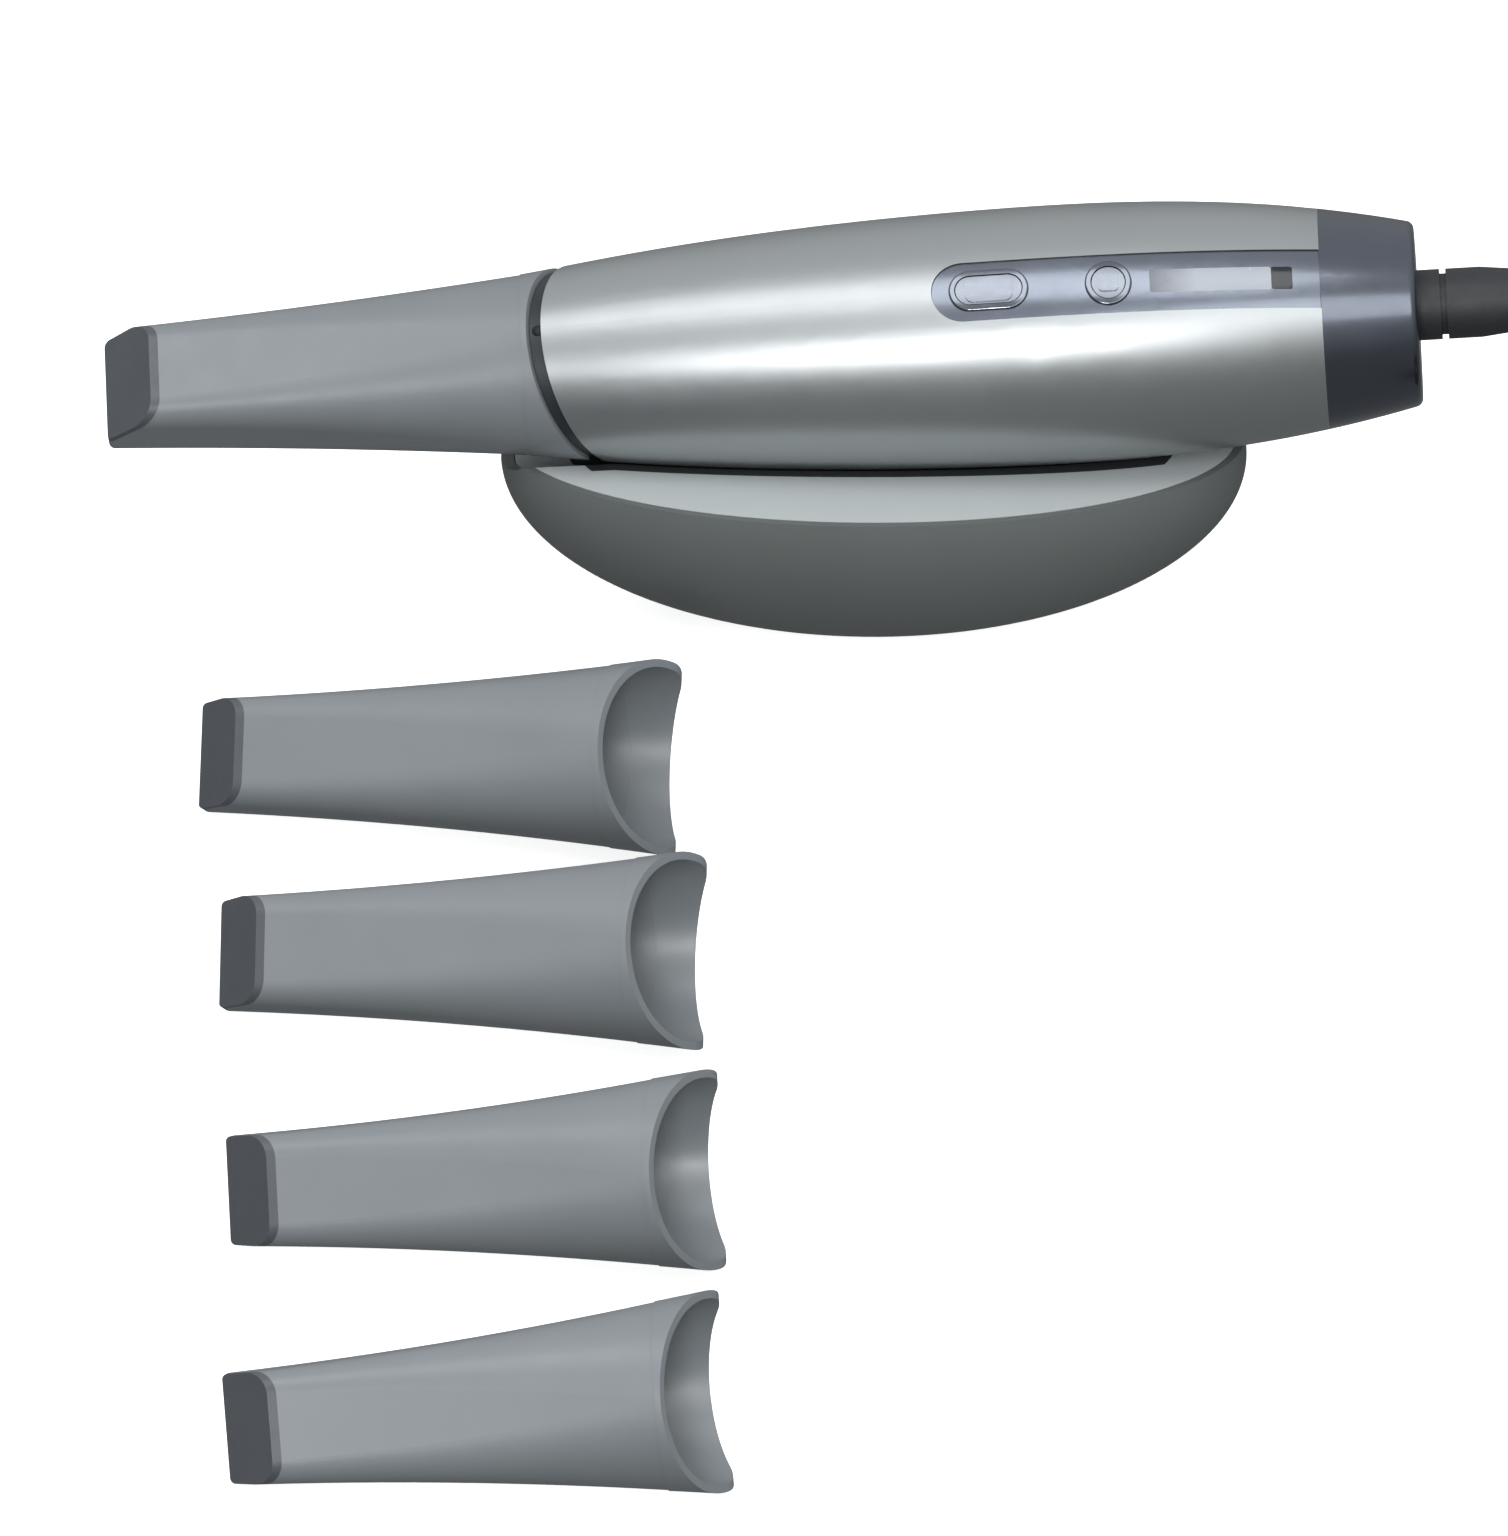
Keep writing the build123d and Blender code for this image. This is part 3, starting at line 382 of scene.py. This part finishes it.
finishes = {
    # painted casing: aluminium flake under a satin clear coat gives a wide soft sheen
    "casing_silver": finish_of(
        "satin_metallic_paint", "#A9ADAE", "#AFB3B4", 0.36, metallic=0.85, grain=0.35, relief=0.006,
        mottle=26.0, spread=0.02, sockets={"Coat Weight": 0.15, "Coat Roughness": 0.3},
    ),
    # buttons: the same flake paint, darker and smoother, so they stand out from the strip
    "button_silver": finish_of(
        "satin_metallic_button_paint", "#7E838C", "#868B94", 0.28, metallic=0.85, grain=0.35, relief=0.0015,
        mottle=9.0, spread=0.03,
    ),
    # cradle top: the same paint, paler and drier
    "cradle_silver": finish_of(
        "satin_cradle_paint", "#BCC2C4", "#C4CACA", 0.55, metallic=0.0, grain=0.45, relief=0.01,
        mottle=30.0, spread=0.04,
    ),
    # cradle shell: ABS moulded in an eroded tool, dull with a fine even grain; its dark grey is painted shade, the
    # flank's shading set into its colour
    "cradle_grey": finish_of(
        "eroded_abs_shell_painted_shade", "#646968", "#6B706F", 0.46, ior=1.53, grain=0.7, relief=0.03, mottle=35.0,
        spread=0.05,
    ),
    # tips: polysulfone moulded satin, for steam sterilising
    "tip_grey": finish_of(
        "moulded_polysulfone", "#7C8286", "#84898D", 0.40, ior=1.63, grain=0.5, relief=0.012, mottle=22.0,
        spread=0.05,
    ),
    # cover behind the mirror: grey plastic whose darker tone is painted shade, so the tip's slanted front facet
    # reads as a face turned from the light
    "cover_grey": finish_of(
        "tip_cover_painted_shade", "#4C5056", "#555A60", 0.42, ior=1.63, grain=0.5, relief=0.012, mottle=10.0,
    ),
    # control strip: lacquered metallic slate, glossy
    "panel_slate": finish_of(
        "lacquered_slate_strip", panel_colour, "#777D88", 0.24, metallic=0.95, grain=0.4, relief=0.001,
        mottle=20.0, spread=0.03, sockets={"Coat Weight": 0.4, "Coat Roughness": 0.08},
    ),
    # rings round the buttons: dark chrome, whose sharp reflections draw a thin bright line
    "bezel_chrome": finish_of(
        "dark_chrome", "#6E737C", "#787D86", 0.14, metallic=1.0, grain=0.3, relief=0.001, mottle=8.0,
        spread=0.03,
    ),
    # light strip: milky polycarbonate, pale and even, a little translucent
    "indicator_lens": finish_of(
        "diffusing_polycarbonate", "#AEB4BE", "#B8BEC6", 0.22, ior=1.58, grain=0.4, relief=0.006, mottle=9.0,
        sockets={"Transmission Weight": 0.15},
    ),
    # sensor window: smoked acrylic, nearly black with one clear reflection
    "sensor_dark": finish_of(
        "smoked_acrylic", "#1B1E24", "#22262D", 0.10, ior=1.49, grain=0.4, relief=0.002, mottle=9.0,
        spread=0.02,
    ),
    # collar behind the tip: black plastic that reads as a dark band
    "seam_black": finish_of(
        "moulded_black_collar", "#23282D", "#2B3136", 0.42, ior=1.5, grain=0.5, relief=0.02, mottle=12.0,
    ),
    # holding ring: black silicone, duller than the collar
    "ring_rubber": finish_of(
        "silicone_ring", "#1C1E20", "#26292B", 0.55, ior=1.41, grain=0.4, relief=0.02, mottle=8.0,
    ),
    # optics barrel: black anodised aluminium with fine marks along it
    "barrel_black": finish_of(
        "black_anodised_barrel", "#1E2022", "#27292B", 0.38, metallic=0.6, grain=0.3, relief=0.01,
        mottle=15.0, stretch=along_handset,
    ),
    # nose window: coated glass with a bluish black depth and a sharp reflection
    "window_glass": finish_of(
        "coated_window_glass", "#20242E", "#262B38", 0.06, ior=1.52, grain=1.0, relief=0.001, mottle=15.0,
        spread=0.02, sockets={"Coat Weight": 1.0, "Coat Roughness": 0.03},
    ),
    # tip's mirror: silver on glass, nearly without grain
    "mirror": finish_of(
        "silvered_mirror", "#E3E6E8", "#E9ECEE", 0.06, metallic=1.0, grain=1.0, relief=0.001, mottle=12.0,
        spread=0.02,
    ),
    # rear cap: polished dark slate paint under a clear coat
    "cap_slate": finish_of(
        "polished_slate_cap", "#60656F", "#686D77", 0.22, metallic=0.95, grain=0.3, relief=0.001,
        mottle=18.0, spread=0.03, sockets={"Coat Weight": 0.3, "Coat Roughness": 0.06},
    ),
    # strain relief: soft elastomer, dull charcoal
    "relief_grey": finish_of(
        "soft_tpe_sleeve", "#26292C", "#2F3235", 0.55, ior=1.5, grain=0.6, relief=0.03, mottle=12.0,
    ),
    # cradle's pads: silicone, the dullest and coarsest of the dark finishes; their black edge below the handset is
    # partly a painted shadow line, set where the contact shadow under the casing falls
    "seat_rubber": finish_of(
        "silicone_pad_painted_shadow", "#2A2D2F", "#34383A", 0.62, ior=1.41, grain=0.8, relief=0.05, mottle=14.0,
    ),
    # cable and plug grip: black PVC with a faint soft sheen
    "cable_black": finish_of(
        "pvc_cable_jacket", "#232527", "#2D2F31", 0.48, ior=1.53, grain=0.5, relief=0.02, mottle=25.0,
    ),
    # plug shell: nickel plate, bright grey with fine drawing marks
    "plug_shell": finish_of(
        "nickel_plated_steel", "#B9BCBE", "#C4C6C7", 0.26, metallic=1.0, grain=0.3, relief=0.004, mottle=8.0,
        stretch=(1, 1, 0.1),
    ),
    # plug insert: blue plastic, the only strong colour outside
    "plug_insert": finish_of(
        "blue_contact_insert", "#1E4E9A", "#2558A6", 0.40, ior=1.5, grain=0.4, relief=0.01, mottle=6.0,
    ),
    # ballast and screws: zinc plate, soft grey reflections
    "steel": finish_of(
        "zinc_plated_steel", "#A9ACAE", "#B7B9B9", 0.34, metallic=1.0, grain=0.4, relief=0.01, mottle=10.0,
    ),
    # chassis and heat sink: milled aluminium with fine tool marks
    "aluminium": finish_of(
        "milled_aluminium", "#B9BBBD", "#C4C6C7", 0.36, metallic=1.0, grain=0.35, relief=0.012, mottle=14.0,
        stretch=along_handset,
    ),
    # board standoffs: turned brass, a warm tone among the greys
    "brass": finish_of(
        "turned_brass", "#B9974F", "#C4A35C", 0.28, metallic=1.0, grain=0.3, relief=0.008, mottle=6.0,
    ),
    # camera and projector housings: blackened metal, dull
    "module_black": finish_of(
        "blackened_module_housing", "#1D1E20", "#28292B", 0.50, ior=1.5, grain=0.5, relief=0.02, mottle=9.0,
    ),
    # chips and switches: filled epoxy, dull with a fine grain
    "chip_black": finish_of(
        "epoxy_package", "#17181A", "#222325", 0.55, ior=1.55, grain=0.3, relief=0.015, mottle=5.0,
    ),
    # boards: green solder mask, glossy, with its fine grain drawn out along the board
    "circuit_board": finish_of(
        "solder_masked_board", "#0F4A2C", "#146038", 0.30, ior=1.55, grain=0.8, relief=0.02, mottle=6.0,
        stretch=(0.3, 1, 1),
    ),
}

# the light strip fades into the panel's colour over its front end, where no lamp is behind it
lens_tree = finishes["indicator_lens"].node_tree
lens_shader = lens_tree.nodes["Principled BSDF"]
lens_colour = lens_shader.inputs["Base Color"].links[0].from_socket
strip_front, fade_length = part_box("indicator_light")[0][0], 9.0 * millimetre
lens_place = add_node(lens_tree, "ShaderNodeTexCoord", {}, {}).outputs["Object"]
lens_along = add_node(lens_tree, "ShaderNodeSeparateXYZ", {}, {"Vector": lens_place}).outputs["X"]
lit_share = add_node(
    lens_tree, "ShaderNodeMapRange", {},
    {"Value": lens_along, "From Min": strip_front, "From Max": strip_front + fade_length},
).outputs["Result"]
lens_mix = add_node(
    lens_tree, "ShaderNodeMix", {"data_type": "RGBA"},
    {0: lit_share, 6: linear(panel_colour), 7: lens_colour},
)
lens_tree.links.new(lens_mix.outputs[2], lens_shader.inputs["Base Color"])

for subpart in frame["record"]["subparts"]:
    node = frame["nodes"][subpart["node"]]
    node.data.materials.clear()
    node.data.materials.append(finishes[subpart["material_slot"]])
for piece in [cord, *details]:
    piece.data.materials.append(finishes[piece["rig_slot"]])


# ---- floor and light ------------------------------------------------------------------------------------
floor_reach = 8.0
floor_glow = 0.80  # with the light that falls on it, this makes the floor white in the picture
floor_level = cad_box[0][2]
floor_points = np.array([
    (side_x * floor_reach, side_y * floor_reach, floor_level)
    for side_x, side_y in ((-1, -1), (1, -1), (1, 1), (-1, 1))
])
floor_mesh = bpy.data.meshes.new("floor")
floor_mesh.from_pydata(floor_points.tolist(), [], [(0, 1, 2, 3)])
floor = bpy.data.objects.new("floor", floor_mesh)
bpy.context.scene.collection.objects.link(floor)
floor_paint = bpy.data.materials.new("matt_white_sweep")
floor_paint.use_nodes = True
floor_shader = floor_paint.node_tree.nodes["Principled BSDF"]
floor_shader.inputs["Base Color"].default_value = linear("#F4F4F4")
floor_shader.inputs["Roughness"].default_value = 0.9
floor_shader.inputs["Emission Color"].default_value = linear("#FFFFFF")
floor_shader.inputs["Emission Strength"].default_value = floor_glow
floor_mesh.materials.append(floor_paint)
# the floor's glow lights nothing and shows in no reflection, so undersides stay dark
floor.visible_glossy = False
floor.visible_diffuse = False

# the room is bright overhead and dark below the table, so undersides fall into shade
world = bpy.data.worlds.new("studio")
world.use_nodes = True
room = world.node_tree
direction = add_node(room, "ShaderNodeTexCoord", {}, {}).outputs["Generated"]
height = add_node(room, "ShaderNodeSeparateXYZ", {}, {"Vector": direction}).outputs["Z"]
level = add_node(
    room, "ShaderNodeMapRange", {"interpolation_type": "SMOOTHSTEP"},
    {"Value": height, "From Min": -0.35, "From Max": 0.75, "To Min": 0.2, "To Max": 0.75},
)
background = room.nodes["Background"]
background.inputs["Color"].default_value = linear("#F2F5F7")
room.links.new(level.outputs["Result"], background.inputs["Strength"])
bpy.context.scene.world = world


def softbox(name, height, turn, distance, size, power):
    """Rectangular soft light at a height angle and a turn from the front, in radians, aimed at the handset
    from a distance in metres, with a width and height in metres and a power in watts."""
    light = bpy.data.lights.new(name, "AREA")
    light.shape = "RECTANGLE"
    light.size, light.size_y = size
    light.energy = power
    lamp = bpy.data.objects.new(name, light)
    outward = np.array((sin(turn) * cos(height), -cos(turn) * cos(height), sin(height)))
    lamp.location = looked_at + distance * outward
    lamp.rotation_euler = (pi / 2 - height, 0, turn)
    lamp.visible_camera = False
    bpy.context.scene.collection.objects.link(lamp)


# the first is small and low, for the casing's highlight, and the other two are broad and soft
softbox("front_softbox", radians(23), radians(-5), distance=2.2, size=(0.36, 0.5), power=13)
softbox("front_fill", radians(40), radians(25), distance=2.4, size=(1.6, 1.0), power=11)
softbox("top_softbox", radians(75), radians(-20), distance=2.2, size=(1.6, 0.9), power=12)
